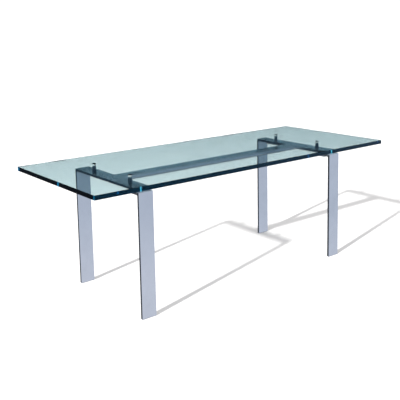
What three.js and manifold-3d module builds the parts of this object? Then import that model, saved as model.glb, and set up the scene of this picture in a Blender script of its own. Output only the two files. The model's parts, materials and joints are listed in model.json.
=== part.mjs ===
// Glass dining table on a polished flat-bar H base, with two pull-out leaf supports.
// Millimetres, +Z up. The origin is on the floor under the middle of the top,
// +X runs along the length and +Y across the width, from the front to the back.

import * as THREE from "three";
import { mergeVertices } from "three/addons/utils/BufferGeometryUtils.js";
import Module from "manifold-3d";

// ---- driving dimensions -------------------------------------------------

const TOP_LENGTH = 2200;
const TOP_WIDTH = 900;
const TOP_HEIGHT = 755;
const GLASS_THICK = 25;
const GLASS_CORNER = 4;
const GLASS_HOLE = 16;

const BAR_WIDTH = 90;
const BAR_THICK = 15;
const FRAME_SPACING = 1480;   // from the middle of one end frame to the other
const FRAME_WIDTH = 690;      // over the outer faces of the legs
const CORNER_FILLET = 6;      // inside the corner of an end frame
const PAD_THICK = 2;
const PAD_INSET = 2.5;

const STANDOFF = 37;          // from the top of the frame to the glass
const POST_SPACING = 390;     // between the two posts of one end frame
const POST_DIAMETER = 22;
const CAP_DIAMETER = 25;
const CAP_THICK = 5;
const CAP_CHAMFER = 0.75;
const WASHER_DIAMETER = 23;
const WASHER_THICK = 1;       // above the glass, and the bush's flange below it
const STUD_DIAMETER = 8;
const STUD_IN_POST = 14;

const TRAVEL = 510;           // how far a leaf support pulls out
const SLIDE_GAP = 0.25;       // running clearance above and below a runner
const SIDE_GAP = 0.5;         // running clearance beside a runner
const RUNNER_THICK = 12;
const RUNNER_WIDTH = 40;      // upper half of the stepped section
const RUNNER_NARROW = 26;     // lower half, between the lips of the guides
const RUNNER_START = 15;      // inner end, from the middle of the table
const GUIDE_LENGTH = 1376;
const GUIDE_SCREW_PITCH = 320;
const GUIDE_SCREW_COUNT = 5;  // in each guide
const GUIDE_HALF_WIDTH = 31;

const REST_BAR_LENGTH = 560;
const REST_BAR_WIDTH = 40;
const REST_BAR_THICK = 9;
const REST_PAD_DIAMETER = 24;
const REST_PAD_THICK = 2.5;

const PIN_DIAMETER = 6;
const PIN_PLACE = 600;        // from the middle of the table
const PIN_IN_BEAM = 9;
const PIN_BELOW = 4;
const SLOT_DEPTH = 5;

const FIT_GAP = 0.3;          // between a cut hole and what fills it
const ROUND_SEGMENTS = 32;
const SCREW_SEGMENTS = 16;

// Countersunk screws with a hexagon socket: shank and head diameter, length.
const POST_SCREW = { shank: 8, head: 15, length: 33, socket: 5 };
const GUIDE_SCREW = { shank: 4, head: 8, length: 20, socket: 2.5 };
const REST_SCREW = { shank: 5, head: 9.5, length: 10, socket: 3 };

// ---- heights and places that follow from them ---------------------------

const GLASS_BOTTOM = TOP_HEIGHT - GLASS_THICK;
const FRAME_TOP = GLASS_BOTTOM - STANDOFF;
const FRAME_BOTTOM = FRAME_TOP - BAR_THICK;
const FRAME_X = FRAME_SPACING / 2;
const BEAM_END = FRAME_X - BAR_WIDTH / 2;
const POST_Y = POST_SPACING / 2;
const POST_LENGTH = STANDOFF - WASHER_THICK;
const STUD_LENGTH = WASHER_THICK + GLASS_THICK + WASHER_THICK + STUD_IN_POST;
const BORE_RADIUS = STUD_DIAMETER / 2 + FIT_GAP;
const RUNNER_TOP = FRAME_BOTTOM - SLIDE_GAP;
const RUNNER_STEP = RUNNER_TOP - RUNNER_THICK / 2;
const RUNNER_BOTTOM = RUNNER_TOP - RUNNER_THICK;
const RUNNER_END = FRAME_X + REST_BAR_WIDTH / 2 - 2;
const GUIDE_SCREW_Y = (GUIDE_HALF_WIDTH + RUNNER_WIDTH / 2 + SIDE_GAP) / 2;
const GUIDE_SCREW_X = Array.from({ length: GUIDE_SCREW_COUNT },
  (_, index) => (index - (GUIDE_SCREW_COUNT - 1) / 2) * GUIDE_SCREW_PITCH);
const REST_BAR_TOP = RUNNER_BOTTOM + REST_BAR_THICK;
const REST_SCREW_Y = 10;

// ---- materials ----------------------------------------------------------

function material(color, roughness, metalness) {
  return new THREE.MeshStandardMaterial({ color, roughness, metalness });
}

function glassMaterial() {
  const glass = material(0x8fb4bb, 0.03, 0);
  glass.transparent = true;
  glass.opacity = 0.35;
  return glass;
}

const polishedSteel = () => material(0xc8d0d8, 0.06, 1);
const satinSteel = () => material(0xa9afb4, 0.28, 1);
const zincScrew = () => material(0xb2b6b8, 0.3, 1);
const greyNylon = () => material(0x8b8f92, 0.55, 0);
const clearNylon = () => material(0xc9d0cf, 0.4, 0);
const blackRubber = () => material(0x1d1e20, 0.8, 0);

// ---- cutting and joining ------------------------------------------------

const wasm = await Module();
wasm.setup();

function toSolid(geometry) {
  const bare = geometry.clone();
  bare.deleteAttribute("normal");
  bare.deleteAttribute("uv");
  const merged = mergeVertices(bare, 1e-4);
  return new wasm.Manifold(new wasm.Mesh({
    numProp: 3,
    vertProperties: new Float32Array(merged.attributes.position.array),
    triVerts: new Uint32Array(merged.index.array),
  }));
}

function toGeometry(solid) {
  const mesh = solid.getMesh();
  const geometry = new THREE.BufferGeometry();
  geometry.setAttribute("position", new THREE.BufferAttribute(mesh.vertProperties, 3));
  geometry.setIndex(new THREE.BufferAttribute(mesh.triVerts, 1));
  geometry.computeVertexNormals();
  return geometry;
}

function cut(geometry, tools) {
  let solid = toSolid(geometry);
  for (const tool of tools) {
    solid = solid.subtract(toSolid(tool));
  }
  return toGeometry(solid);
}

// ---- basic shapes -------------------------------------------------------

// A section drawn in Y and Z, extruded along X from one place to another.
function barAlongX(section, fromX, toX) {
  const shape = new THREE.Shape(section.map(([y, z]) => new THREE.Vector2(y, z)));
  const geometry = new THREE.ExtrudeGeometry(shape, { depth: toX - fromX, bevelEnabled: false });
  geometry.translate(0, 0, fromX);
  const turn = new THREE.Matrix4().set(
    0, 0, 1, 0,
    1, 0, 0, 0,
    0, 1, 0, 0,
    0, 0, 0, 1,
  );
  return geometry.applyMatrix4(turn);
}

// A flat plate with round corners, from its underside to its upper face.
function plate(lengthX, widthY, corner, bottom, top, cornerSegments = 4) {
  const halfX = lengthX / 2;
  const halfY = widthY / 2;
  const shape = new THREE.Shape();
  shape.moveTo(-halfX + corner, -halfY);
  shape.lineTo(halfX - corner, -halfY);
  shape.absarc(halfX - corner, -halfY + corner, corner, -Math.PI / 2, 0);
  shape.lineTo(halfX, halfY - corner);
  shape.absarc(halfX - corner, halfY - corner, corner, 0, Math.PI / 2);
  shape.lineTo(-halfX + corner, halfY);
  shape.absarc(-halfX + corner, halfY - corner, corner, Math.PI / 2, Math.PI);
  shape.lineTo(-halfX, -halfY + corner);
  shape.absarc(-halfX + corner, -halfY + corner, corner, Math.PI, Math.PI * 1.5);
  const options = { depth: top - bottom, bevelEnabled: false, curveSegments: cornerSegments };
  return new THREE.ExtrudeGeometry(shape, options).translate(0, 0, bottom);
}

// A body of revolution about Z. The profile goes up the outside, from axis to axis.
function turned(profile, segments = ROUND_SEGMENTS) {
  const points = profile.map(([radius, z]) => new THREE.Vector2(radius, z));
  return new THREE.LatheGeometry(points, segments).rotateX(Math.PI / 2).rotateZ(Math.PI);
}

function box(fromX, toX, fromY, toY, fromZ, toZ) {
  const geometry = new THREE.BoxGeometry(toX - fromX, toY - fromY, toZ - fromZ);
  return geometry.translate((fromX + toX) / 2, (fromY + toY) / 2, (fromZ + toZ) / 2);
}

// A countersunk screw pointing up, its head flush with z = 0.
function screwGeometry({ shank, head, length, socket }) {
  const coneHeight = (head - shank) / 2;
  const body = turned([
    [0, 0],
    [head / 2, 0],
    [head / 2, 0.4],
    [shank / 2, 0.4 + coneHeight],
    [shank / 2, length - 0.8],
    [shank / 2 - 0.8, length],
    [0, length],
  ], SCREW_SEGMENTS);
  const hexagon = new THREE.CylinderGeometry(socket / Math.sqrt(3), socket / Math.sqrt(3), 2 * socket, 6);
  hexagon.rotateX(Math.PI / 2);
  return cut(body, [hexagon.translate(0, 0, -0.4 * socket)]);
}

// The hole for such a screw, with clearance all round and above the tip.
function screwHole({ shank, head, length }) {
  const coneHeight = (head - shank) / 2;
  return turned([
    [0, -1],
    [head / 2 + FIT_GAP, -1],
    [head / 2 + FIT_GAP, 0.4 + FIT_GAP],
    [shank / 2 + FIT_GAP, 0.4 + FIT_GAP + coneHeight],
    [shank / 2 + FIT_GAP, length + FIT_GAP],
    [0, length + FIT_GAP],
  ], SCREW_SEGMENTS);
}

function mesh(name, geometry, look, x = 0, y = 0, z = 0) {
  const piece = new THREE.Mesh(geometry, look);
  piece.name = name;
  piece.position.set(x, y, z);
  return piece;
}

// ---- glass top ----------------------------------------------------------

function glassTop() {
  const sheet = plate(TOP_LENGTH, TOP_WIDTH, GLASS_CORNER, 0, GLASS_THICK);
  const radius = GLASS_HOLE / 2;
  const hole = turned([[0, -1], [radius, -1], [radius, GLASS_THICK + 1], [0, GLASS_THICK + 1]]);
  const holes = [];
  for (const x of [-FRAME_X, FRAME_X]) {
    for (const y of [-POST_Y, POST_Y]) {
      holes.push(hole.clone().translate(x, y, 0));
    }
  }
  return mesh("glass_top", cut(sheet, holes), glassMaterial(), 0, 0, GLASS_BOTTOM);
}

// ---- end frame: a crossbar, two legs and their foot pads ----------------
// Built about its own middle. The bars meet in 45 degree mitres at the top corners,
// and each takes half of the small fillet inside the corner.

function filletPoints(fromDegrees, toDegrees) {
  const middleY = FRAME_WIDTH / 2 - BAR_THICK - CORNER_FILLET;
  const middleZ = FRAME_BOTTOM - CORNER_FILLET;
  const steps = 3;
  return Array.from({ length: steps + 1 }, (_, index) => {
    const degrees = fromDegrees + ((toDegrees - fromDegrees) * index) / steps;
    const angle = THREE.MathUtils.degToRad(degrees);
    return [middleY + CORNER_FILLET * Math.cos(angle), middleZ + CORNER_FILLET * Math.sin(angle)];
  });
}

function crossbarGeometry() {
  const half = FRAME_WIDTH / 2;
  const fillet = filletPoints(45, 90);
  const section = [
    [half, FRAME_TOP],
    [-half, FRAME_TOP],
    ...fillet.map(([y, z]) => [-y, z]),
    ...fillet.reverse(),
  ];
  const bar = barAlongX(section, -BAR_WIDTH / 2, BAR_WIDTH / 2);
  const holes = [-POST_Y, POST_Y].map((y) => screwHole(POST_SCREW).translate(0, y, FRAME_BOTTOM));
  return cut(bar, holes);
}

function legGeometry(sign) {
  const outer = sign * FRAME_WIDTH / 2;
  const inner = outer - sign * BAR_THICK;
  const section = [
    [outer, PAD_THICK],
    [outer, FRAME_TOP],
    ...filletPoints(45, 0).map(([y, z]) => [sign * y, z]),
    [inner, PAD_THICK],
  ];
  return barAlongX(section, -BAR_WIDTH / 2, BAR_WIDTH / 2);
}

function footPadGeometry() {
  const lengthX = BAR_WIDTH - 2 * PAD_INSET;
  const widthY = BAR_THICK - 2 * PAD_INSET;
  return plate(lengthX, widthY, 2, 0, PAD_THICK, 3);
}

function endFrame(side, rowOf) {
  const frame = new THREE.Group();
  frame.add(mesh(`crossbar_${side}`, crossbarGeometry(), polishedSteel()));
  for (const sign of [-1, 1]) {
    const row = rowOf(sign);
    const padY = sign * (FRAME_WIDTH - BAR_THICK) / 2;
    frame.add(mesh(`leg_${side}_${row}`, legGeometry(sign), polishedSteel()));
    frame.add(mesh(`foot_pad_${side}_${row}`, footPadGeometry(), greyNylon(), 0, padY, 0));
    frame.add(post(`${side}_${row}`, sign * POST_Y));
  }
  return frame;
}

// ---- posts that carry the glass -----------------------------------------
// A tube on the crossbar, held by a screw from below. The glass lies on the flange of
// a nylon bush, and the cap's stud goes down through the bush into the tube.

function ring(outer, fromZ, toZ) {
  return turned([
    [BORE_RADIUS, fromZ],
    [outer, fromZ],
    [outer, toZ],
    [BORE_RADIUS, toZ],
    [BORE_RADIUS, fromZ],
  ]);
}

function bushGeometry() {
  const sleeve = GLASS_HOLE / 2 - FIT_GAP;
  const sleeveTop = WASHER_THICK + GLASS_THICK - FIT_GAP;
  return turned([
    [BORE_RADIUS, 0],
    [POST_DIAMETER / 2, 0],
    [POST_DIAMETER / 2, WASHER_THICK],
    [sleeve, WASHER_THICK],
    [sleeve, sleeveTop],
    [BORE_RADIUS, sleeveTop],
    [BORE_RADIUS, 0],
  ]);
}

function capGeometry() {
  return turned([
    [0, -STUD_LENGTH],
    [STUD_DIAMETER / 2, -STUD_LENGTH],
    [STUD_DIAMETER / 2, 0],
    [CAP_DIAMETER / 2, 0],
    [CAP_DIAMETER / 2, CAP_THICK - CAP_CHAMFER],
    [CAP_DIAMETER / 2 - CAP_CHAMFER, CAP_THICK],
    [0, CAP_THICK],
  ]);
}

function post(place, y) {
  const stack = new THREE.Group();
  const glassTopZ = STANDOFF + GLASS_THICK;
  const capZ = glassTopZ + WASHER_THICK;
  const washer = ring(WASHER_DIAMETER / 2, 0, WASHER_THICK);
  stack.position.set(0, y, FRAME_TOP);
  stack.add(mesh(`post_${place}`, ring(POST_DIAMETER / 2, 0, POST_LENGTH), polishedSteel()));
  stack.add(mesh(`glass_bush_${place}`, bushGeometry(), clearNylon(), 0, 0, POST_LENGTH));
  stack.add(mesh(`cap_washer_${place}`, washer, clearNylon(), 0, 0, glassTopZ));
  stack.add(mesh(`cap_${place}`, capGeometry(), polishedSteel(), 0, 0, capZ));
  stack.add(mesh(`post_screw_${place}`, screwGeometry(POST_SCREW), zincScrew(), 0, 0, -BAR_THICK));
  return stack;
}

// ---- centre beam, with the holes for guide screws and stop pins ---------

function beamGeometry() {
  const half = BAR_WIDTH / 2;
  const section = [
    [-half, FRAME_BOTTOM],
    [half, FRAME_BOTTOM],
    [half, FRAME_TOP],
    [-half, FRAME_TOP],
  ];
  const holes = [];
  for (const x of GUIDE_SCREW_X) {
    for (const y of [-GUIDE_SCREW_Y, GUIDE_SCREW_Y]) {
      holes.push(screwHole(GUIDE_SCREW).translate(x, y, RUNNER_BOTTOM));
    }
  }
  const radius = PIN_DIAMETER / 2 + FIT_GAP;
  const depth = PIN_IN_BEAM + FIT_GAP;
  const pinHole = turned([[0, -1], [radius, -1], [radius, depth], [0, depth]], SCREW_SEGMENTS);
  for (const x of [-PIN_PLACE, PIN_PLACE]) {
    holes.push(pinHole.clone().translate(x, 0, FRAME_BOTTOM));
  }
  return cut(barAlongX(section, -BEAM_END, BEAM_END), holes);
}

// ---- guides under the beam ----------------------------------------------
// One L-section strip at the front and one at the back, with the runners between them.
// Their lips run under the wide half of the runners.

function guideGeometry(sign) {
  const wallOut = sign * GUIDE_HALF_WIDTH;
  const wallIn = sign * (RUNNER_WIDTH / 2 + SIDE_GAP);
  const lipIn = sign * (RUNNER_NARROW / 2 + SIDE_GAP);
  const lipTop = RUNNER_STEP - SLIDE_GAP;
  const section = [
    [wallOut, RUNNER_BOTTOM],
    [wallOut, FRAME_BOTTOM],
    [wallIn, FRAME_BOTTOM],
    [wallIn, lipTop],
    [lipIn, lipTop],
    [lipIn, RUNNER_BOTTOM],
  ];
  const holes = GUIDE_SCREW_X.map((x) =>
    screwHole(GUIDE_SCREW).translate(x, sign * GUIDE_SCREW_Y, RUNNER_BOTTOM));
  return cut(barAlongX(section, -GUIDE_LENGTH / 2, GUIDE_LENGTH / 2), holes);
}

function guides() {
  const pair = new THREE.Group();
  for (const [sign, row] of [[-1, "front"], [1, "back"]]) {
    pair.add(mesh(`guide_${row}`, guideGeometry(sign), satinSteel()));
    GUIDE_SCREW_X.forEach((x, index) => {
      const name = `guide_screw_${row}_${index + 1}`;
      const y = sign * GUIDE_SCREW_Y;
      pair.add(mesh(name, screwGeometry(GUIDE_SCREW), zincScrew(), x, y, RUNNER_BOTTOM));
    });
  }
  return pair;
}

// A dowel in the beam that runs in the slot of the runner and ends its travel.
function stopPin(side) {
  const radius = PIN_DIAMETER / 2;
  const pin = turned([
    [0, -PIN_BELOW],
    [radius - 0.5, -PIN_BELOW],
    [radius, 0.5 - PIN_BELOW],
    [radius, PIN_IN_BEAM],
    [0, PIN_IN_BEAM],
  ], SCREW_SEGMENTS);
  return mesh(`stop_pin_${side}`, pin, zincScrew(), PIN_PLACE, 0, FRAME_BOTTOM);
}

// ---- pull-out leaf support: runner, rest bar, screws and rest pads ------

function runnerGeometry() {
  const wide = RUNNER_WIDTH / 2;
  const narrow = RUNNER_NARROW / 2;
  const section = [
    [-narrow, RUNNER_BOTTOM],
    [narrow, RUNNER_BOTTOM],
    [narrow, RUNNER_STEP],
    [wide, RUNNER_STEP],
    [wide, RUNNER_TOP],
    [-wide, RUNNER_TOP],
    [-wide, RUNNER_STEP],
    [-narrow, RUNNER_STEP],
  ];
  const slotHalf = PIN_DIAMETER / 2 + FIT_GAP;
  const slotFrom = PIN_PLACE - TRAVEL - slotHalf;
  const slotTo = PIN_PLACE + slotHalf;
  const slot = box(slotFrom, slotTo, -slotHalf, slotHalf, RUNNER_TOP - SLOT_DEPTH, RUNNER_TOP + 1);
  const lapStart = FRAME_X - REST_BAR_WIDTH / 2 - FIT_GAP;
  const lap = box(lapStart, RUNNER_END + 1, -wide - 1, wide + 1, RUNNER_BOTTOM - 1, RUNNER_STEP);
  const holes = [-REST_SCREW_Y, REST_SCREW_Y].map((y) =>
    screwHole(REST_SCREW).translate(FRAME_X, y, RUNNER_BOTTOM));
  return cut(barAlongX(section, RUNNER_START, RUNNER_END), [slot, lap, ...holes]);
}

function restBarGeometry() {
  const bar = plate(REST_BAR_WIDTH, REST_BAR_LENGTH, 6, RUNNER_BOTTOM, REST_BAR_TOP);
  const notchHalf = RUNNER_WIDTH / 2 + FIT_GAP;
  const past = REST_BAR_WIDTH;
  const notch = box(-past, past, -notchHalf, notchHalf, RUNNER_STEP, REST_BAR_TOP + 1);
  const holes = [-REST_SCREW_Y, REST_SCREW_Y].map((y) =>
    screwHole(REST_SCREW).translate(0, y, RUNNER_BOTTOM));
  return cut(bar, [notch, ...holes]);
}

function restPadGeometry() {
  const radius = REST_PAD_DIAMETER / 2;
  return turned([
    [0, 0],
    [radius, 0],
    [radius, REST_PAD_THICK - 0.8],
    [radius - 0.8, REST_PAD_THICK],
    [0, REST_PAD_THICK],
  ], 24);
}

function leafSupport(side, rowOf) {
  const support = new THREE.Group();
  support.add(mesh(`runner_${side}`, runnerGeometry(), satinSteel()));
  support.add(mesh(`rest_bar_${side}`, restBarGeometry(), satinSteel(), FRAME_X, 0, 0));
  for (const sign of [-1, 1]) {
    const place = `${side}_${rowOf(sign)}`;
    const screwY = sign * REST_SCREW_Y;
    const screw = screwGeometry(REST_SCREW);
    support.add(mesh(`rest_bar_screw_${place}`, screw, zincScrew(), FRAME_X, screwY, RUNNER_BOTTOM));
    const padY = sign * POST_Y;
    support.add(mesh(`rest_pad_${place}`, restPadGeometry(), blackRubber(), FRAME_X, padY, REST_BAR_TOP));
  }
  return support;
}

// ---- the whole table ----------------------------------------------------
// The right half is built as drawn, and the left half is the same turned round.

function half(side) {
  const turnedRound = side === "left";
  const rowOf = (sign) => ((sign < 0) !== turnedRound ? "front" : "back");
  const group = new THREE.Group();
  const frame = endFrame(side, rowOf);
  frame.position.x = FRAME_X;
  group.add(frame);
  group.add(stopPin(side));
  group.add(leafSupport(side, rowOf));
  if (turnedRound) {
    group.rotation.z = Math.PI;
  }
  return group;
}

const table = new THREE.Group();
table.add(glassTop());
table.add(mesh("centre_beam", beamGeometry(), polishedSteel()));
table.add(guides());
table.add(half("left"));
table.add(half("right"));

export default table;
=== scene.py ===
"""Glass dining table on a mirror-polished flat-bar frame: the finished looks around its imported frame."""

import json
import math

import bmesh
import bpy
from mathutils import Matrix, Vector


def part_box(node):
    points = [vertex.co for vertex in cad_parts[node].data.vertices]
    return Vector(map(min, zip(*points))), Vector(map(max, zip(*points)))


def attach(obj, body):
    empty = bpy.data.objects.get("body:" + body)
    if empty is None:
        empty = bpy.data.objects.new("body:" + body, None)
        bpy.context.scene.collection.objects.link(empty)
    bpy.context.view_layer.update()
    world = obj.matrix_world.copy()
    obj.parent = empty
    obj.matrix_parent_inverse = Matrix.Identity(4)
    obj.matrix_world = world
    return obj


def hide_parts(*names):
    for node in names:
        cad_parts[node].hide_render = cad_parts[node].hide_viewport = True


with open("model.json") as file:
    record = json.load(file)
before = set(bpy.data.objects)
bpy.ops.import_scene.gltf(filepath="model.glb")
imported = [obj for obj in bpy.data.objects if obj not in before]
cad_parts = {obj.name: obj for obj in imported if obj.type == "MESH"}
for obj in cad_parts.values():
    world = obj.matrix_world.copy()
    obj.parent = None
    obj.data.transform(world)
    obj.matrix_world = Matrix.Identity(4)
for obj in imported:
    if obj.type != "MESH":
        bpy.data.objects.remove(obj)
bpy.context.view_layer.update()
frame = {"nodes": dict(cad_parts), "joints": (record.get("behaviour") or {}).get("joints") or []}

MM = 0.001
SIDES = ("left", "right")
ROWS = ("front", "back")
# Which way a side lies along X, and a row along Y.
TOWARDS = {"left": -1, "right": 1, "front": -1, "back": 1}

# ---- sizes read from the frame ------------------------------------------------

glass_low, glass_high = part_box("glass_top")
bar_low, bar_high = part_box("crossbar_right")
foot_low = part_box("leg_right_front")[0]
beam_low, beam_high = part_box("centre_beam")
post_low, post_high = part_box("post_right_back")
bush_low, bush_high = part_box("glass_bush_right_back")
washer_low, washer_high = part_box("cap_washer_right_back")
cap_low, cap_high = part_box("cap_right_back")
guide_low, guide_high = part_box("guide_back")
runner_low, runner_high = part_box("runner_right")
rest_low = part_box("rest_bar_right")[0]
rest_pad_low, rest_pad_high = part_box("rest_pad_right_back")

BAR_THICK = bar_high.z - beam_low.z
FRAME_TOP = bar_high.z
FRAME_BOTTOM = beam_low.z
FRAME_X = (bar_low.x + bar_high.x) / 2
BAR_HALF_WIDTH = (bar_high.x - bar_low.x) / 2
FRAME_HALF = bar_high.y
POST_Y = (post_low.y + post_high.y) / 2
POST_RADIUS = (post_high.x - post_low.x) / 2
RUNNER_STEP = (runner_low.z + runner_high.z) / 2
TRAVEL = frame["joints"][0]["range_m"][1]

# ---- sizes of the fine detail -------------------------------------------------

GLASS_ARRIS = 1.2 * MM
GLASS_CORNER = 4 * MM
HOLE_RADIUS = 8 * MM
HOLE_LIP = 0.8 * MM
BAR_ARRIS = 0.7 * MM
INNER_FILLET = 6 * MM
FOOT_CORNER = 2 * MM
BORE_RADIUS = 4.3 * MM
STUD_RADIUS = 4 * MM
FIT_GAP = 0.3 * MM
PIN_RADIUS = 3 * MM
PIN_DEPTH = 9 * MM
PIN_PLACE = 600 * MM
SLOT_DEPTH = 5 * MM
RUNNER_FOOT_HALF = 13 * MM
GUIDE_GAP = 0.5 * MM
REST_BAR_CORNER = 6 * MM
GUIDE_SCREW_PITCH = 320 * MM
GUIDE_SCREW_COUNT = 5
GUIDE_SCREW_Y = 25.75 * MM
REST_SCREW_Y = 10 * MM
SCREW_SEED = 11

# How far a cutter reaches past the face it cuts, and the facets of round forms.
OVERCUT = MM
ROUND_STEPS = 72
SMALL_STEPS = 48
HOLE_STEPS = 32
THREAD_STEPS = 24

# Countersunk screws: shank and head across, length, and socket across its flats.
POST_SCREW = {"shank": 8 * MM, "head": 15 * MM, "length": 33 * MM, "socket": 5 * MM}
GUIDE_SCREW = {"shank": 4 * MM, "head": 8 * MM, "length": 20 * MM, "socket": 2.5 * MM}
REST_SCREW = {"shank": 5 * MM, "head": 9.5 * MM, "length": 10 * MM, "socket": 3 * MM}
HEAD_LIP = 0.4 * MM


# ---- camera, lights and floor -------------------------------------------------

def place_camera():
    """Off the left front corner and above the top, level enough to keep the legs nearly upright."""
    data = bpy.data.cameras.new("camera")
    camera = bpy.data.objects.new("camera", data)
    bpy.context.scene.collection.objects.link(camera)
    stand = (-2.5984, -3.1854, 1.5460)
    heading, tilt, roll = math.radians(38.08), math.radians(8.10), math.radians(-1.09)
    level = math.cos(tilt)
    ahead = Vector((math.sin(heading) * level, math.cos(heading) * level, -math.sin(tilt)))
    across = Vector((math.cos(heading), -math.sin(heading), 0))
    upward = across.cross(ahead)
    right = across * math.cos(roll) + upward * math.sin(roll)
    top = upward * math.cos(roll) - across * math.sin(roll)
    turn = Matrix((right, top, -ahead)).transposed().to_4x4()
    camera.matrix_world = Matrix.Translation(stand) @ turn
    data.sensor_width = 36
    data.lens = 59.96
    data.shift_y = -0.2
    bpy.context.scene.camera = camera


def plain_exposure():
    """White stays white: the picture is shown without a film curve."""
    bpy.context.scene.view_settings.view_transform = "Standard"


def window_light():
    """A low, soft sun from the left that draws the long pale shadows."""
    data = bpy.data.lights.new("window_light", "SUN")
    data.energy = 6.0
    data.angle = math.radians(1.8)
    data.color = (1.0, 0.99, 0.97)
    lamp = bpy.data.objects.new("window_light", data)
    bpy.context.scene.collection.objects.link(lamp)
    travel = Vector((1.0, 0.27, -0.47))
    lamp.rotation_euler = travel.to_track_quat("-Z", "Y").to_euler()


def studio_surroundings():
    """A pale room, bright overhead, with a dark band above the horizon and a dark back left corner."""
    world = bpy.data.worlds.new("studio")
    bpy.context.scene.world = world
    world.use_nodes = True
    nodes, links = world.node_tree.nodes, world.node_tree.links
    nodes.clear()
    output = nodes.new("ShaderNodeOutputWorld")
    coordinates = nodes.new("ShaderNodeTexCoord")
    split = nodes.new("ShaderNodeSeparateXYZ")
    links.new(coordinates.outputs["Generated"], split.inputs[0])

    height = nodes.new("ShaderNodeMapRange")
    height.inputs["From Min"].default_value = -1
    height.inputs["From Max"].default_value = 1
    links.new(split.outputs["Z"], height.inputs["Value"])
    overhead = [
        (0.645, (0.005, 0.014, 0.024)),
        (0.70, (0.27, 0.33, 0.36)),
        (0.82, (0.85, 0.83, 0.83)),
        (1.00, (1.14, 1.11, 1.10)),
    ]
    pale_side = nodes.new("ShaderNodeValToRGB")
    set_ramp(pale_side, [
        (0.00, (0.90, 0.92, 0.98)),
        (0.32, (0.84, 0.88, 1.00)),
        (0.365, (0.69, 0.755, 0.89)),
        (0.49, (0.64, 0.71, 0.85)),
        (0.52, (0.40, 0.50, 0.60)),
        (0.55, (0.005, 0.012, 0.024)),
        *overhead,
    ])
    links.new(height.outputs["Result"], pale_side.inputs["Fac"])
    dark_side = nodes.new("ShaderNodeValToRGB")
    set_ramp(dark_side, [
        (0.00, (0.40, 0.42, 0.46)),
        (0.30, (0.080, 0.088, 0.105)),
        (0.50, (0.045, 0.052, 0.070)),
        *overhead,
    ])
    links.new(height.outputs["Result"], dark_side.inputs["Fac"])

    # The dark corner fades in over a cone about this direction.
    dark_corner = (-0.61, 0.79, 0)
    fade_from, fade_to = 0.70, 0.86
    facing = nodes.new("ShaderNodeVectorMath")
    facing.operation = "DOT_PRODUCT"
    facing.inputs[1].default_value = dark_corner
    links.new(coordinates.outputs["Generated"], facing.inputs[0])
    fade = nodes.new("ShaderNodeMapRange")
    fade.interpolation_type = "SMOOTHSTEP"
    fade.inputs["From Min"].default_value = fade_from
    fade.inputs["From Max"].default_value = fade_to
    links.new(facing.outputs["Value"], fade.inputs["Value"])
    room = nodes.new("ShaderNodeMix")
    room.data_type = "RGBA"
    links.new(fade.outputs["Result"], room.inputs["Factor"])
    links.new(pale_side.outputs["Color"], socket_named(room.inputs, "A", "RGBA"))
    links.new(dark_side.outputs["Color"], socket_named(room.inputs, "B", "RGBA"))

    surroundings = nodes.new("ShaderNodeBackground")
    links.new(socket_named(room.outputs, "Result", "RGBA"), surroundings.inputs["Color"])
    backdrop = nodes.new("ShaderNodeBackground")
    backdrop.inputs["Color"].default_value = (1, 1, 1, 1)
    backdrop.inputs["Strength"].default_value = 1.1
    path = nodes.new("ShaderNodeLightPath")
    choice = nodes.new("ShaderNodeMixShader")
    links.new(path.outputs["Is Camera Ray"], choice.inputs["Fac"])
    links.new(surroundings.outputs[0], choice.inputs[1])
    links.new(backdrop.outputs[0], choice.inputs[2])
    links.new(choice.outputs[0], output.inputs["Surface"])


def lay_floor():
    """A wide pale floor. The polished steel mirrors the studio round it and not the floor itself."""
    mesh = bpy.data.meshes.new("floor")
    reach = 60
    corners = [(-reach, -reach, 0), (reach, -reach, 0), (reach, reach, 0), (-reach, reach, 0)]
    mesh.from_pydata(corners, [], [(0, 1, 2, 3)])
    floor = bpy.data.objects.new("floor", mesh)
    bpy.context.scene.collection.objects.link(floor)
    look = bpy.data.materials.new("pale_floor")
    look.use_nodes = True
    shader = look.node_tree.nodes["Principled BSDF"]
    shader.inputs["Base Color"].default_value = (0.9, 0.9, 0.9, 1)
    shader.inputs["Roughness"].default_value = 1
    shader.inputs["Specular IOR Level"].default_value = 0
    mesh.materials.append(look)
    floor.visible_glossy = False


def set_ramp(node, stops):
    """Gives a colour ramp its stops."""
    ramp = node.color_ramp
    while len(ramp.elements) > 1:
        ramp.elements.remove(ramp.elements[-1])
    ramp.elements[0].position = stops[0][0]
    ramp.elements[0].color = (*stops[0][1], 1)
    for place, colour in stops[1:]:
        element = ramp.elements.new(place)
        element.color = (*colour, 1)


# ---- finishes -----------------------------------------------------------------

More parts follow.
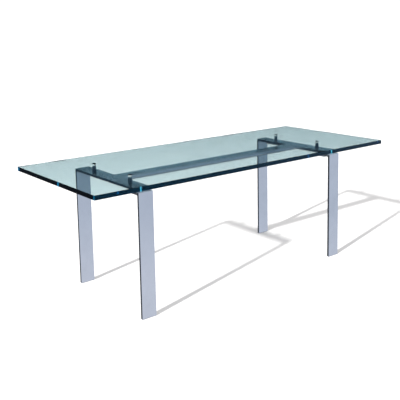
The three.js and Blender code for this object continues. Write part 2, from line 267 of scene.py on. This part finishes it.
class Finish:
    """A node material with the patterns that the finishes share, all on Object coordinates."""

    def __init__(self, name):
        self.material = bpy.data.materials.new(name)
        self.material.use_nodes = True
        self.nodes = self.material.node_tree.nodes
        self.links = self.material.node_tree.links
        self.shader = self.nodes["Principled BSDF"]
        self.coordinates = self.nodes.new("ShaderNodeTexCoord")

    def value(self, **settings):
        """Sets the shader's own sockets."""
        for name, setting in settings.items():
            self.shader.inputs[name.replace("_", " ")].default_value = setting

    def noise(self, scale, stretch=(1, 1, 1), detail=3, roughness=0.55):
        """Noise at a scale in patches per metre, drawn out along the axes where stretch is small."""
        mapping = self.nodes.new("ShaderNodeMapping")
        mapping.inputs["Scale"].default_value = stretch
        self.links.new(self.coordinates.outputs["Object"], mapping.inputs["Vector"])
        noise = self.nodes.new("ShaderNodeTexNoise")
        noise.inputs["Scale"].default_value = scale
        noise.inputs["Detail"].default_value = detail
        noise.inputs["Roughness"].default_value = roughness
        self.links.new(mapping.outputs["Vector"], noise.inputs["Vector"])
        return noise.outputs["Fac"]

    def spread(self, source, low, high, from_low=0.3, from_high=0.7):
        """A pattern's values carried over to another range."""
        spread = self.nodes.new("ShaderNodeMapRange")
        spread.inputs["From Min"].default_value = from_low
        spread.inputs["From Max"].default_value = from_high
        spread.inputs["To Min"].default_value = low
        spread.inputs["To Max"].default_value = high
        self.links.new(source, spread.inputs["Value"])
        return spread.outputs["Result"]

    def total(self, first, second):
        """Two patterns added together."""
        node = self.nodes.new("ShaderNodeMath")
        node.operation = "ADD"
        self.links.new(first, node.inputs[0])
        self.links.new(second, node.inputs[1])
        return node.outputs[0]

    def colours(self, source, stops):
        """A pattern's values turned into colours."""
        ramp = self.nodes.new("ShaderNodeValToRGB")
        set_ramp(ramp, stops)
        self.links.new(source, ramp.inputs["Fac"])
        return ramp.outputs["Color"]

    def relief(self, source, depth, strength):
        """Fine relief of a depth in metres."""
        bump = self.nodes.new("ShaderNodeBump")
        bump.inputs["Strength"].default_value = strength
        bump.inputs["Distance"].default_value = depth
        self.links.new(source, bump.inputs["Height"])
        self.links.new(bump.outputs["Normal"], self.shader.inputs["Normal"])

    def use(self, source, socket):
        """Lets a pattern drive one of the shader's sockets."""
        self.links.new(source, self.shader.inputs[socket])


def clear_glass():
    """Thick float glass: clear through the sheet, deep blue-green along it, with polished edges."""
    finish = Finish("clear_float_glass")
    finish.value(Base_Color=(1, 1, 1, 1), Transmission_Weight=1.0, IOR=1.5, Roughness=0.0)
    finish.value(Specular_IOR_Level=0.1, Specular_Tint=(0.10, 0.60, 1.0, 1))
    ripple = finish.noise(7, detail=2)
    smears = finish.noise(60, stretch=(1, 0.35, 1), detail=4)
    finish.relief(finish.total(ripple, finish.spread(smears, 0, 0.02)), 0.02 * MM, 0.4)
    depth = finish.nodes.new("ShaderNodeVolumeAbsorption")
    depth.inputs["Color"].default_value = (0.0, 0.71, 0.86, 1)
    depth.inputs["Density"].default_value = 12.0
    finish.links.new(depth.outputs[0], finish.nodes["Material Output"].inputs["Volume"])
    return finish.material


def mirror_steel(name, tint, roughness, along):
    """Steel polished to a mirror, with faint buffing streaks, cloudy smudges and a very slight waviness."""
    finish = Finish(name)
    streaks = finish.noise(900, stretch=along, detail=3)
    clouds = finish.noise(9, detail=4)
    prints = finish.noise(55, detail=5, roughness=0.7)
    finish.value(Metallic=1.0)
    finish.use(finish.colours(clouds, [
        (0.30, tuple(0.93 * channel for channel in tint)),
        (0.70, tint),
    ]), "Base Color")
    haze = finish.total(finish.spread(prints, 0, 0.03, 0.5, 0.75), finish.spread(streaks, 0, 0.015))
    base = finish.spread(clouds, roughness, roughness + 0.02)
    finish.use(finish.total(base, haze), "Roughness")
    wave = finish.noise(14, detail=2)
    relief = finish.total(finish.spread(wave, 0, 1), finish.spread(streaks, 0, 0.04))
    finish.relief(relief, 0.04 * MM, 0.5)
    return finish.material


def satin_steel(name, along):
    """Drawn steel with a fine grain along its length and slight blotches."""
    finish = Finish(name)
    grain = finish.noise(1400, stretch=along, detail=3)
    blotches = finish.noise(18, detail=4)
    finish.value(Metallic=1.0)
    finish.use(finish.colours(finish.total(grain, finish.spread(blotches, 0, 0.3)), [
        (0.35, (0.40, 0.41, 0.43)),
        (0.95, (0.60, 0.61, 0.63)),
    ]), "Base Color")
    haze = finish.total(finish.spread(grain, 0.24, 0.38), finish.spread(blotches, 0, 0.08))
    finish.use(haze, "Roughness")
    finish.relief(grain, 0.03 * MM, 0.6)
    return finish.material


def zinc_plate():
    """Bright zinc on fasteners: slightly blotchy, with tiny turning marks."""
    finish = Finish("bright_zinc_plate")
    blotches = finish.noise(260, detail=4)
    marks = finish.noise(2500, detail=2)
    finish.value(Metallic=1.0)
    finish.use(finish.colours(blotches, [
        (0.30, (0.50, 0.52, 0.55)),
        (0.55, (0.62, 0.63, 0.64)),
        (0.75, (0.66, 0.65, 0.60)),
    ]), "Base Color")
    finish.use(finish.spread(blotches, 0.24, 0.42), "Roughness")
    finish.relief(marks, 0.02 * MM, 0.5)
    return finish.material


def moulded_nylon(name, dark, light, translucent):
    """Moulded nylon with a fine spark-eroded texture and faint flow marks."""
    finish = Finish(name)
    flow = finish.noise(90, stretch=(1, 1, 0.3), detail=3)
    texture = finish.noise(3200, detail=2)
    finish.use(finish.colours(flow, [(0.30, dark), (0.70, light)]), "Base Color")
    finish.use(finish.spread(texture, 0.42, 0.60), "Roughness")
    finish.value(Subsurface_Weight=translucent, Subsurface_Radius=(2 * MM, 2 * MM, 2 * MM))
    finish.relief(texture, 0.05 * MM, 0.5)
    return finish.material


def black_rubber():
    """Matt moulded rubber, a little dusty and scuffed."""
    finish = Finish("matt_black_rubber")
    dust = finish.noise(160, detail=5, roughness=0.7)
    pores = finish.noise(4200, detail=2)
    finish.use(finish.colours(dust, [
        (0.35, (0.012, 0.012, 0.013)),
        (0.62, (0.022, 0.022, 0.023)),
        (0.78, (0.060, 0.058, 0.055)),
    ]), "Base Color")
    finish.use(finish.spread(dust, 0.68, 0.92), "Roughness")
    finish.relief(finish.total(pores, dust), 0.08 * MM, 0.7)
    return finish.material


# ---- mesh tools ---------------------------------------------------------------

def link_mesh(name, form):
    """Turns a bmesh into an object with its faces turned outwards."""
    bmesh.ops.recalc_face_normals(form, faces=form.faces)
    mesh = bpy.data.meshes.new(name)
    form.to_mesh(mesh)
    form.free()
    piece = bpy.data.objects.new(name, mesh)
    bpy.context.scene.collection.objects.link(piece)
    return piece


def prism(name, outline, start, end, axis):
    """An outline drawn across X or Z, carried along that axis from start to end."""
    order = {
        "x": lambda a, b, along: (along, a, b),
        "z": lambda a, b, along: (a, b, along),
    }[axis]
    form = bmesh.new()
    near = [form.verts.new(order(a, b, start)) for a, b in outline]
    far = [form.verts.new(order(a, b, end)) for a, b in outline]
    form.faces.new(near)
    form.faces.new(far)
    count = len(outline)
    for index in range(count):
        after = (index + 1) % count
        form.faces.new((near[index], near[after], far[after], far[index]))
    return link_mesh(name, form)


def turned(name, profile, steps=ROUND_STEPS):
    """A turned form about Z. The profile runs from axis to axis, or closes on itself for a ring."""
    form = bmesh.new()
    is_ring = profile[0][0] > 0
    circles = []
    for radius, height in profile:
        if radius == 0:
            circles.append([form.verts.new((0, 0, height))])
            continue
        circle = []
        for step in range(steps):
            angle = 2 * math.pi * step / steps
            circle.append(form.verts.new((radius * math.cos(angle), radius * math.sin(angle), height)))
        circles.append(circle)
    pairs = list(zip(circles, circles[1:]))
    if is_ring:
        pairs.append((circles[-1], circles[0]))
    for lower, upper in pairs:
        for step in range(steps):
            after = (step + 1) % steps
            corners = [lower[step % len(lower)], lower[after % len(lower)]]
            corners += [upper[after % len(upper)], upper[step % len(upper)]]
            distinct = list(dict.fromkeys(corners))
            if len(distinct) > 2:
                form.faces.new(distinct)
    return link_mesh(name, form)


def quarter(x, y, radius, first, steps):
    """The points of a quarter circle about x and y, from an angle in degrees."""
    angles = [math.radians(first + 90 * step / steps) for step in range(steps + 1)]
    return [(x + radius * math.cos(angle), y + radius * math.sin(angle)) for angle in angles]


def rounded_outline(low, high, corner):
    """A rectangle in X and Y with round corners."""
    steps = 8
    points = []
    centres = ((high.x, high.y, 0), (low.x, high.y, 90), (low.x, low.y, 180), (high.x, low.y, 270))
    for x, y, first in centres:
        middle_x = x - math.copysign(corner, x - (low.x + high.x) / 2)
        middle_y = y - math.copysign(corner, y - (low.y + high.y) / 2)
        points += quarter(middle_x, middle_y, corner, first, steps)
    return points


def arris_ring(radius, low, high, edge):
    """The section of a bored ring with rounded outer edges, from its bore out and back."""
    lower = quarter(radius - edge, low + edge, edge, -90, 3)
    upper = quarter(radius - edge, high - edge, edge, 0, 3)
    return [(BORE_RADIUS, low), *lower, *upper, (BORE_RADIUS, high)]


def round_edges(piece, width, segments):
    """Puts a small round on every sharp edge."""
    edges = piece.modifiers.new("edges", "BEVEL")
    edges.width = width
    edges.segments = segments
    edges.limit_method = "ANGLE"
    edges.angle_limit = math.radians(35)


def finish_mesh(piece, edge=0.0, segments=3, cutters=()):
    """Rounds the edges, cuts the holes and leaves a plain mesh with clean shading."""
    if edge:
        round_edges(piece, edge, segments)
    for cutter in cutters:
        hole = piece.modifiers.new("hole", "BOOLEAN")
        hole.operation = "DIFFERENCE"
        hole.solver = "EXACT"
        hole.object = cutter
    bake_modifiers(piece)
    for cutter in cutters:
        bpy.data.objects.remove(cutter)
    shade(piece)
    return piece


def bake_modifiers(piece):
    """Replaces a piece's mesh by what its modifiers make of it."""
    bpy.context.view_layer.update()
    evaluated = piece.evaluated_get(bpy.context.evaluated_depsgraph_get())
    made = bpy.data.meshes.new_from_object(evaluated)
    piece.modifiers.clear()
    piece.data = made


def shade(piece, angle=32):
    """Smooth shading with true flats: sharp past an angle, and large faces lead the normals."""
    mesh = piece.data
    mesh.polygons.foreach_set("use_smooth", [True] * len(mesh.polygons))
    mesh.set_sharp_from_angle(angle=math.radians(angle))
    weighted = piece.modifiers.new("flats", "WEIGHTED_NORMAL")
    weighted.keep_sharp = True
    weighted.weight = 100
    bake_modifiers(piece)


def drill(profile, steps, place):
    """A turned cutter that stands at a place."""
    cutter = turned("cutter", profile, steps)
    cutter.data.transform(Matrix.Translation(place))
    return cutter


def countersink(screw, x, y, z):
    """A cutter for a screw's hole that points up from z, with a little clearance."""
    shank = screw["shank"] / 2 + FIT_GAP
    head = screw["head"] / 2 + FIT_GAP
    lip = HEAD_LIP + FIT_GAP
    top = screw["length"] + FIT_GAP
    start = -2 * OVERCUT
    profile = [(0, start), (head, start), (head, lip), (shank, lip + head - shank), (shank, top), (0, top)]
    return drill(profile, HOLE_STEPS, (x, y, z))


def block(low, high):
    """A square cutter between two corners."""
    outline = [(low[0], low[1]), (high[0], low[1]), (high[0], high[1]), (low[0], high[1])]
    return prism("cutter", outline, low[2], high[2], "z")


def hand_over(piece, body, slot, look, *nodes):
    """Gives a finished piece its look, and its place in the frame."""
    piece.data.materials.clear()
    piece.data.materials.append(look)
    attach(piece, body)
    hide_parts(*nodes)


def four(stem):
    """The names of the four nodes of one kind, one for each leg."""
    return [name for side in SIDES for name in two(stem, side)]


def two(stem, side):
    """The names of the two nodes of one kind on one side."""
    return [f"{stem}_{side}_{row}" for row in ROWS]


# ---- what repeats: one tree sets a pattern piece out on a grid ----------------

def setting_out_tree():
    """Copies a pattern object onto a grid of places, each turned by a chance angle about its own axis."""
    tree = bpy.data.node_groups.new("set_out_on_grid", "GeometryNodeTree")
    tree.is_modifier = True
    kinds = {
        "Geometry": "Geometry", "Pattern": "Object", "Finish": "Material",
        "Count X": "Int", "Count Y": "Int", "Reach X": "Float", "Reach Y": "Float",
        "Place": "Vector", "Chance Turn": "Float", "Seed": "Int",
    }
    for name, kind in kinds.items():
        tree.interface.new_socket(name, in_out="INPUT", socket_type=f"NodeSocket{kind}")
    tree.interface.new_socket("Geometry", in_out="OUTPUT", socket_type="NodeSocketGeometry")
    nodes, links = tree.nodes, tree.links
    given = nodes.new("NodeGroupInput")
    result = nodes.new("NodeGroupOutput")

    grid = nodes.new("GeometryNodeMeshGrid")
    links.new(given.outputs["Reach X"], grid.inputs["Size X"])
    links.new(given.outputs["Reach Y"], grid.inputs["Size Y"])
    links.new(given.outputs["Count X"], grid.inputs["Vertices X"])
    links.new(given.outputs["Count Y"], grid.inputs["Vertices Y"])
    moved = nodes.new("GeometryNodeTransform")
    links.new(grid.outputs["Mesh"], moved.inputs["Geometry"])
    links.new(given.outputs["Place"], moved.inputs["Translation"])

    pattern = nodes.new("GeometryNodeObjectInfo")
    pattern.transform_space = "ORIGINAL"
    links.new(given.outputs["Pattern"], pattern.inputs["Object"])
    chance = nodes.new("FunctionNodeRandomValue")
    chance.data_type = "FLOAT"
    links.new(given.outputs["Chance Turn"], socket_named(chance.inputs, "Max", "VALUE"))
    links.new(given.outputs["Seed"], chance.inputs["Seed"])
    turn = nodes.new("ShaderNodeCombineXYZ")
    links.new(socket_named(chance.outputs, "Value", "VALUE"), turn.inputs["Z"])
    copies = nodes.new("GeometryNodeInstanceOnPoints")
    links.new(moved.outputs["Geometry"], copies.inputs["Points"])
    links.new(pattern.outputs["Geometry"], copies.inputs["Instance"])
    links.new(turn.outputs["Vector"], copies.inputs["Rotation"])

    real = nodes.new("GeometryNodeRealizeInstances")
    links.new(copies.outputs["Instances"], real.inputs["Geometry"])
    coat = nodes.new("GeometryNodeSetMaterial")
    links.new(real.outputs["Geometry"], coat.inputs["Geometry"])
    links.new(given.outputs["Finish"], coat.inputs["Material"])
    links.new(coat.outputs["Geometry"], result.inputs["Geometry"])
    return tree


def socket_named(sockets, name, kind):
    """The enabled socket of a name and kind, on nodes that keep one for each kind of data."""
    fitting = [socket for socket in sockets if socket.name == name and socket.type == kind]
    return next(socket for socket in fitting if socket.enabled)


def set_out(name, pattern, look, counts, reaches, place, chance_turn=0.0):
    """Copies of a pattern piece as one plain mesh, set out on a grid about a place."""
    piece = bpy.data.objects.new(name, bpy.data.meshes.new(name))
    bpy.context.scene.collection.objects.link(piece)
    modifier = piece.modifiers.new("set_out", "NODES")
    modifier.node_group = SET_OUT
    values = {
        "Pattern": pattern, "Finish": look, "Count X": counts[0], "Count Y": counts[1],
        "Reach X": reaches[0], "Reach Y": reaches[1], "Place": place,
        "Chance Turn": chance_turn, "Seed": SCREW_SEED,
    }
    for item in SET_OUT.interface.items_tree:
        if item.item_type == "SOCKET" and item.in_out == "INPUT" and item.name in values:
            modifier[item.identifier] = values[item.name]
    bake_modifiers(piece)
    bpy.data.objects.remove(pattern)
    return piece


# ---- the glass top ------------------------------------------------------------

def glass_sheet():
    """The whole sheet with polished arrises round its edge and round its four holes."""
    low, high = glass_low.z, glass_high.z
    sheet = prism("glass_sheet", rounded_outline(glass_low, glass_high, GLASS_CORNER), low, high, "z")
    mouth = HOLE_RADIUS + HOLE_LIP + OVERCUT
    profile = [
        (0, low - OVERCUT), (mouth, low - OVERCUT), (HOLE_RADIUS, low + HOLE_LIP),
        (HOLE_RADIUS, high - HOLE_LIP), (mouth, high + OVERCUT), (0, high + OVERCUT),
    ]
    places = [(x, y, 0) for x in (-FRAME_X, FRAME_X) for y in (-POST_Y, POST_Y)]
    finish_mesh(sheet, GLASS_ARRIS, 2, [drill(profile, SMALL_STEPS, place) for place in places])
    # The tint darkens a shadow far more than real glass does, so the sheet lets the light through.
    sheet.visible_shadow = False
    sheet.visible_diffuse = False
    hand_over(sheet, "base", "clear_glass", GLASS, "glass_top")


# ---- the polished frame -------------------------------------------------------

def frame_outline():
    """The outline of an end frame seen along the table: two legs and the crossbar over them."""
    foot = foot_low.z
    inner = FRAME_HALF - BAR_THICK
    fillet = quarter(inner - INNER_FILLET, FRAME_BOTTOM - INNER_FILLET, INNER_FILLET, 0, 6)
    outer = [(FRAME_HALF, foot), (FRAME_HALF, FRAME_TOP), (-FRAME_HALF, FRAME_TOP), (-FRAME_HALF, foot)]
    far_fillet = [(-y, z) for y, z in fillet]
    return [*outer, (-inner, foot), *far_fillet, *reversed(fillet), (inner, foot)]


def mitre(sign):
    """A top corner's mitre: a point on it, and the direction from it in which the leg lies."""
    return Vector((0, sign * FRAME_HALF, FRAME_TOP)), Vector((0, sign, -1)).normalized()


def end_frame(side):
    """One bent line of flat bar, parted at its mitres into a crossbar and two legs."""
    middle = TOWARDS[side] * FRAME_X
    start, end = middle - BAR_HALF_WIDTH, middle + BAR_HALF_WIDTH
    whole = prism("whole_frame", frame_outline(), start, end, "x")
    round_edges(whole, BAR_ARRIS, 3)
    bake_modifiers(whole)
    for row in ROWS:
        own_half = (Vector((0, 0, 0)), Vector((0, TOWARDS[row], 0)))
        leg = parted(f"flat_bar_leg_{side}_{row}", whole, [own_half, mitre(TOWARDS[row])])
        shade(leg)
        hand_over(leg, "base", "polished_steel", STEEL_UP, f"leg_{side}_{row}")
    cuts = [(corner, -leg_side) for corner, leg_side in (mitre(TOWARDS[row]) for row in ROWS)]
    bar = parted(f"flat_bar_crossbar_{side}", whole, cuts)
    screws = [countersink(POST_SCREW, middle, y, FRAME_BOTTOM) for y in (-POST_Y, POST_Y)]
    finish_mesh(bar, cutters=screws)
    hand_over(bar, "base", "polished_steel", STEEL_ACROSS, f"crossbar_{side}")
    bpy.data.objects.remove(whole)


def parted(name, whole, cuts):
    """The part of a piece on the side of each cut that its direction points to."""
    form = bmesh.new()
    form.from_mesh(whole.data)
    for point, direction in cuts:
        bmesh.ops.bisect_plane(
            form, geom=form.verts[:] + form.edges[:] + form.faces[:],
            plane_co=point, plane_no=direction, clear_inner=True,
        )
        rim = [edge for edge in form.edges if edge.is_boundary]
        bmesh.ops.contextual_create(form, geom=rim)
    return link_mesh(name, form)


def beam():
    """The flat bar between the crossbars, drilled from below for the guides and the stop pins."""
    half = beam_high.y
    outline = [(-half, FRAME_BOTTOM), (half, FRAME_BOTTOM), (half, FRAME_TOP), (-half, FRAME_TOP)]
    bar = prism("flat_bar_centre_beam", outline, beam_low.x, beam_high.x, "x")
    wide, deep = PIN_RADIUS + FIT_GAP, PIN_DEPTH + FIT_GAP
    profile = [(0, -OVERCUT), (wide, -OVERCUT), (wide, deep), (0, deep)]
    holes = [drill(profile, HOLE_STEPS, (x, 0, FRAME_BOTTOM)) for x in (-PIN_PLACE, PIN_PLACE)]
    for x in guide_screw_places():
        for y in (-GUIDE_SCREW_Y, GUIDE_SCREW_Y):
            holes.append(countersink(GUIDE_SCREW, x, y, guide_low.z))
    finish_mesh(bar, BAR_ARRIS, 3, holes)
    hand_over(bar, "base", "polished_steel", STEEL_ALONG, "centre_beam")


def guide_screw_places():
    """Where the guide screws stand along the beam."""
    middle = (GUIDE_SCREW_COUNT - 1) / 2
    return [(index - middle) * GUIDE_SCREW_PITCH for index in range(GUIDE_SCREW_COUNT)]


def feet():
    """A rounded nylon pad under each leg."""
    for side in SIDES:
        for row in ROWS:
            low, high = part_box(f"foot_pad_{side}_{row}")
            outline = rounded_outline(low, high, FOOT_CORNER)
            pad = prism(f"foot_glide_{side}_{row}", outline, low.z, high.z, "z")
            finish_mesh(pad, 0.4 * MM, 3)
            hand_over(pad, "base", "grey_nylon", GREY_NYLON, f"foot_pad_{side}_{row}")


# ---- posts, bushes and caps ---------------------------------------------------

def posts():
    """Bored, turned posts between the crossbars and the glass."""
    tube = turned("post_pattern", arris_ring(POST_RADIUS, post_low.z, post_high.z, 0.5 * MM))
    shade(tube)
    place_four("turned_posts", tube, POST_STEEL_PAINTED_SHADE, "post_steel", "post")


def bushes():
    """Nylon bushes with a flange under the glass."""
    flange_top = glass_low.z
    sleeve = HOLE_RADIUS - FIT_GAP
    ease = 0.25 * MM
    bush = turned("bush_pattern", [
        (BORE_RADIUS, bush_low.z),
        (POST_RADIUS - ease, bush_low.z),
        (POST_RADIUS, bush_low.z + ease),
        (POST_RADIUS, flange_top - ease),
        (POST_RADIUS - ease, flange_top),
        (sleeve, flange_top),
        (sleeve, bush_high.z - 2 * ease),
        (sleeve - 2 * ease, bush_high.z),
        (BORE_RADIUS, bush_high.z),
    ])
    shade(bush)
    place_four("glass_bushes", bush, CLEAR_NYLON, "clear_nylon", "glass_bush")


def washers():
    """Thin nylon washers between the glass and the caps."""
    radius = (washer_high.x - washer_low.x) / 2
    ring = turned("washer_pattern", arris_ring(radius, washer_low.z, washer_high.z, 0.25 * MM))
    shade(ring)
    place_four("cap_washers", ring, CLEAR_NYLON, "clear_nylon", "cap_washer")


def caps():
    """Polished caps with a rounded rim, a turned ring on top and a stud below."""
    radius = (cap_high.x - cap_low.x) / 2
    under = washer_high.z
    top = cap_high.z
    rim, ease, stud_ease = 0.75 * MM, 0.3 * MM, 0.6 * MM
    ring, groove_half, groove_depth = 0.72 * radius, 0.35 * MM, 0.25 * MM
    cap = turned("cap_pattern", [
        (0, cap_low.z),
        (STUD_RADIUS - stud_ease, cap_low.z),
        (STUD_RADIUS, cap_low.z + stud_ease),
        (STUD_RADIUS, under),
        (radius - ease, under),
        (radius, under + ease),
        *quarter(radius - rim, top - rim, rim, 0, 4),
        (ring + groove_half, top),
        (ring, top - groove_depth),
        (ring - groove_half, top),
        (0, top),
    ])
    shade(cap, 25)
    place_four("polished_caps", cap, POST_STEEL_PAINTED_SHADE, "post_steel", "cap")


def place_four(name, pattern, look, slot, stem):
    """One pattern at each of the four posts."""
    piece = set_out(name, pattern, look, (2, 2), (2 * FRAME_X, 2 * POST_Y), (0, 0, 0))
    hand_over(piece, "base", slot, look, *four(stem))


# ---- fasteners ----------------------------------------------------------------

def screw_pattern(screw):
    """A countersunk screw pointing up from z = 0, with a hexagon socket in its head."""
    shank, head, length = screw["shank"] / 2, screw["head"] / 2, screw["length"]
    ease, tip = 0.15 * MM, 0.8 * MM
    pitch, thread_depth = 0.7 * MM, 0.35 * MM
    neck = HEAD_LIP + head - shank
    profile = [(0, 0), (head - ease, 0), (head, ease), (head, HEAD_LIP), (shank, neck)]
    height = neck + pitch
    while height + pitch < length - tip:
        profile += [(shank - thread_depth, height), (shank, height + pitch / 2)]
        height += pitch
    profile += [(shank - tip, length), (0, length)]
    body = turned("screw_pattern", profile, THREAD_STEPS)
    corner = screw["socket"] / math.sqrt(3)
    angles = [math.radians(60 * step) for step in range(6)]
    hexagon = [(corner * math.cos(angle), corner * math.sin(angle)) for angle in angles]
    socket = prism("cutter", hexagon, -OVERCUT, 0.6 * screw["socket"], "z")
    return finish_mesh(body, cutters=[socket])


def fasteners():
    """Every screw head seen from below: under the posts, along the guides and in the rest bars."""
    whole_turn = 2 * math.pi
    under_posts = set_out(
        "post_screws_turned", screw_pattern(POST_SCREW), ZINC, (2, 2),
        (2 * FRAME_X, 2 * POST_Y), (0, 0, FRAME_BOTTOM), whole_turn,
    )
    hand_over(under_posts, "base", "zinc_screw", ZINC, *four("post_screw"))
    count = GUIDE_SCREW_COUNT
    along_guides = set_out(
        "guide_screws_turned", screw_pattern(GUIDE_SCREW), ZINC, (count, 2),
        ((count - 1) * GUIDE_SCREW_PITCH, 2 * GUIDE_SCREW_Y), (0, 0, guide_low.z), whole_turn,
    )
    names = [f"guide_screw_{row}_{index + 1}" for row in ROWS for index in range(count)]
    hand_over(along_guides, "base", "zinc_screw", ZINC, *names)
    for side in SIDES:
        pair = set_out(
            f"rest_bar_screws_{side}_turned", screw_pattern(REST_SCREW), ZINC, (1, 2),
            (0, 2 * REST_SCREW_Y), (TOWARDS[side] * FRAME_X, 0, runner_low.z), whole_turn,
        )
        hand_over(pair, f"{side}_leaf_support", "zinc_screw", ZINC, *two("rest_bar_screw", side))


# ---- the pull-out leaf supports -----------------------------------------------

def guides():
    """The two L-section strips screwed under the beam."""
    lip_top = RUNNER_STEP - GUIDE_GAP / 2
    for row in ROWS:
        sign = TOWARDS[row]
        wall_out = sign * guide_high.y
        wall_in = sign * (runner_high.y + GUIDE_GAP)
        lip_in = sign * (RUNNER_FOOT_HALF + GUIDE_GAP)
        outline = [
            (wall_out, guide_low.z), (wall_out, guide_high.z), (wall_in, guide_high.z),
            (wall_in, lip_top), (lip_in, lip_top), (lip_in, guide_low.z),
        ]
        strip = prism(f"guide_strip_{row}", outline, guide_low.x, guide_high.x, "x")
        places = guide_screw_places()
        screws = [countersink(GUIDE_SCREW, x, sign * GUIDE_SCREW_Y, guide_low.z) for x in places]
        finish_mesh(strip, 0.3 * MM, 2, screws)
        hand_over(strip, "base", "satin_steel", SATIN_ALONG, f"guide_{row}")


def runner(side):
    """The stepped bar that slides under the beam, with its stop slot and a lap for the rest bar."""
    low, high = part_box(f"runner_{side}")
    sign = TOWARDS[side]
    wide, narrow = high.y, RUNNER_FOOT_HALF
    outline = [
        (-narrow, low.z), (narrow, low.z), (narrow, RUNNER_STEP), (wide, RUNNER_STEP),
        (wide, high.z), (-wide, high.z), (-wide, RUNNER_STEP), (-narrow, RUNNER_STEP),
    ]
    bar = prism(f"sliding_runner_{side}", outline, low.x, high.x, "x")
    slot_low, slot_high = sorted((sign * (PIN_PLACE - TRAVEL), sign * PIN_PLACE))
    slot_half = PIN_RADIUS + FIT_GAP
    outline = [
        *quarter(slot_high, 0, slot_half, -90, 6), *quarter(slot_high, 0, slot_half, 0, 6)[1:],
        *quarter(slot_low, 0, slot_half, 90, 6), *quarter(slot_low, 0, slot_half, 180, 6)[1:],
    ]
    slot = prism("cutter", outline, high.z - SLOT_DEPTH, high.z + OVERCUT, "z")
    lap_start = sign * (rest_low.x - FIT_GAP)
    lap_end = sign * (runner_high.x + OVERCUT)
    lap_low, lap_high = sorted((lap_start, lap_end))
    lap = block((lap_low, -wide - OVERCUT, low.z - OVERCUT), (lap_high, wide + OVERCUT, RUNNER_STEP))
    finish_mesh(bar, 0.4 * MM, 2, [slot, lap, *rest_screw_holes(side)])
    hand_over(bar, f"{side}_leaf_support", "satin_steel", SATIN_ALONG, f"runner_{side}")


def rest_screw_holes(side):
    """Cutters for the two screws that hold a rest bar to its runner."""
    x = TOWARDS[side] * FRAME_X
    return [countersink(REST_SCREW, x, y, runner_low.z) for y in (-REST_SCREW_Y, REST_SCREW_Y)]


def rest_bar(side):
    """The cross piece that a leaf's feet stand on, notched over the runner."""
    low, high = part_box(f"rest_bar_{side}")
    outline = rounded_outline(low, high, REST_BAR_CORNER)
    bar = prism(f"leaf_rest_bar_{side}", outline, low.z, high.z, "z")
    half = runner_high.y + FIT_GAP
    notch = block((low.x - OVERCUT, -half, RUNNER_STEP), (high.x + OVERCUT, half, high.z + OVERCUT))
    finish_mesh(bar, 0.5 * MM, 3, [notch, *rest_screw_holes(side)])
    hand_over(bar, f"{side}_leaf_support", "satin_steel", SATIN_ACROSS, f"rest_bar_{side}")


def stop_pin(side):
    """The pin that runs in the runner's slot keeps its shape and gets its plating."""
    pin = frame["nodes"][f"stop_pin_{side}"]
    pin.data.materials.clear()
    pin.data.materials.append(ZINC)


def rest_pads():
    """Rubber discs with three round grooves on the rest bars."""
    radius = (rest_pad_high.x - rest_pad_low.x) / 2
    base, top = rest_pad_low.z, rest_pad_high.z
    edge, shoulder = 0.8 * MM, 0.25 * MM
    groove_half, groove_depth = 0.45 * MM, 0.5 * MM
    profile = [(0, base), (radius, base), (radius, top - edge), (radius - shoulder, top - shoulder)]
    profile.append((radius - edge, top))
    for part in (0.78, 0.54, 0.30):
        groove = radius * part
        profile += [(groove + groove_half, top), (groove, top - groove_depth), (groove - groove_half, top)]
    profile.append((0, top))
    for side in SIDES:
        pad = turned("pad_pattern", profile, SMALL_STEPS)
        shade(pad, 28)
        place = (TOWARDS[side] * FRAME_X, 0, 0)
        pair = set_out(f"ribbed_rest_pads_{side}", pad, RUBBER, (1, 2), (0, 2 * POST_Y), place)
        hand_over(pair, f"{side}_leaf_support", "black_rubber", RUBBER, *two("rest_pad", side))


# ---- the whole table ----------------------------------------------------------

STEEL_TINT = (0.60, 0.625, 0.66)
GLASS = clear_glass()
STEEL_UP = mirror_steel("mirror_steel_legs", STEEL_TINT, 0.045, (1, 1, 0.02))
STEEL_ACROSS = mirror_steel("mirror_steel_crossbars", STEEL_TINT, 0.20, (1, 0.02, 1))
STEEL_ALONG = mirror_steel("mirror_steel_beam", STEEL_TINT, 0.20, (0.02, 1, 1))
# The posts and caps get a steel colour far darker than the frame's. This is painted shade, standing in for
# the dark room that polished posts would mirror.
POST_STEEL_PAINTED_SHADE = mirror_steel("turned_polished_steel_painted_shade", (0.11, 0.125, 0.15), 0.07, (0.3, 0.3, 1))
SATIN_ALONG = satin_steel("satin_drawn_steel_strips", (0.012, 1, 1))
SATIN_ACROSS = satin_steel("satin_drawn_steel_rest_bars", (1, 0.012, 1))
ZINC = zinc_plate()
GREY_NYLON = moulded_nylon("grey_moulded_nylon", (0.16, 0.17, 0.18), (0.24, 0.25, 0.26), 0.0)
CLEAR_NYLON = moulded_nylon("natural_nylon", (0.56, 0.60, 0.60), (0.70, 0.73, 0.72), 0.3)
RUBBER = black_rubber()
SET_OUT = setting_out_tree()

place_camera()
plain_exposure()
studio_surroundings()
window_light()
lay_floor()

glass_sheet()
for side in SIDES:
    end_frame(side)
beam()
feet()
posts()
bushes()
washers()
caps()
guides()
for side in SIDES:
    runner(side)
    rest_bar(side)
    stop_pin(side)
rest_pads()
fasteners()
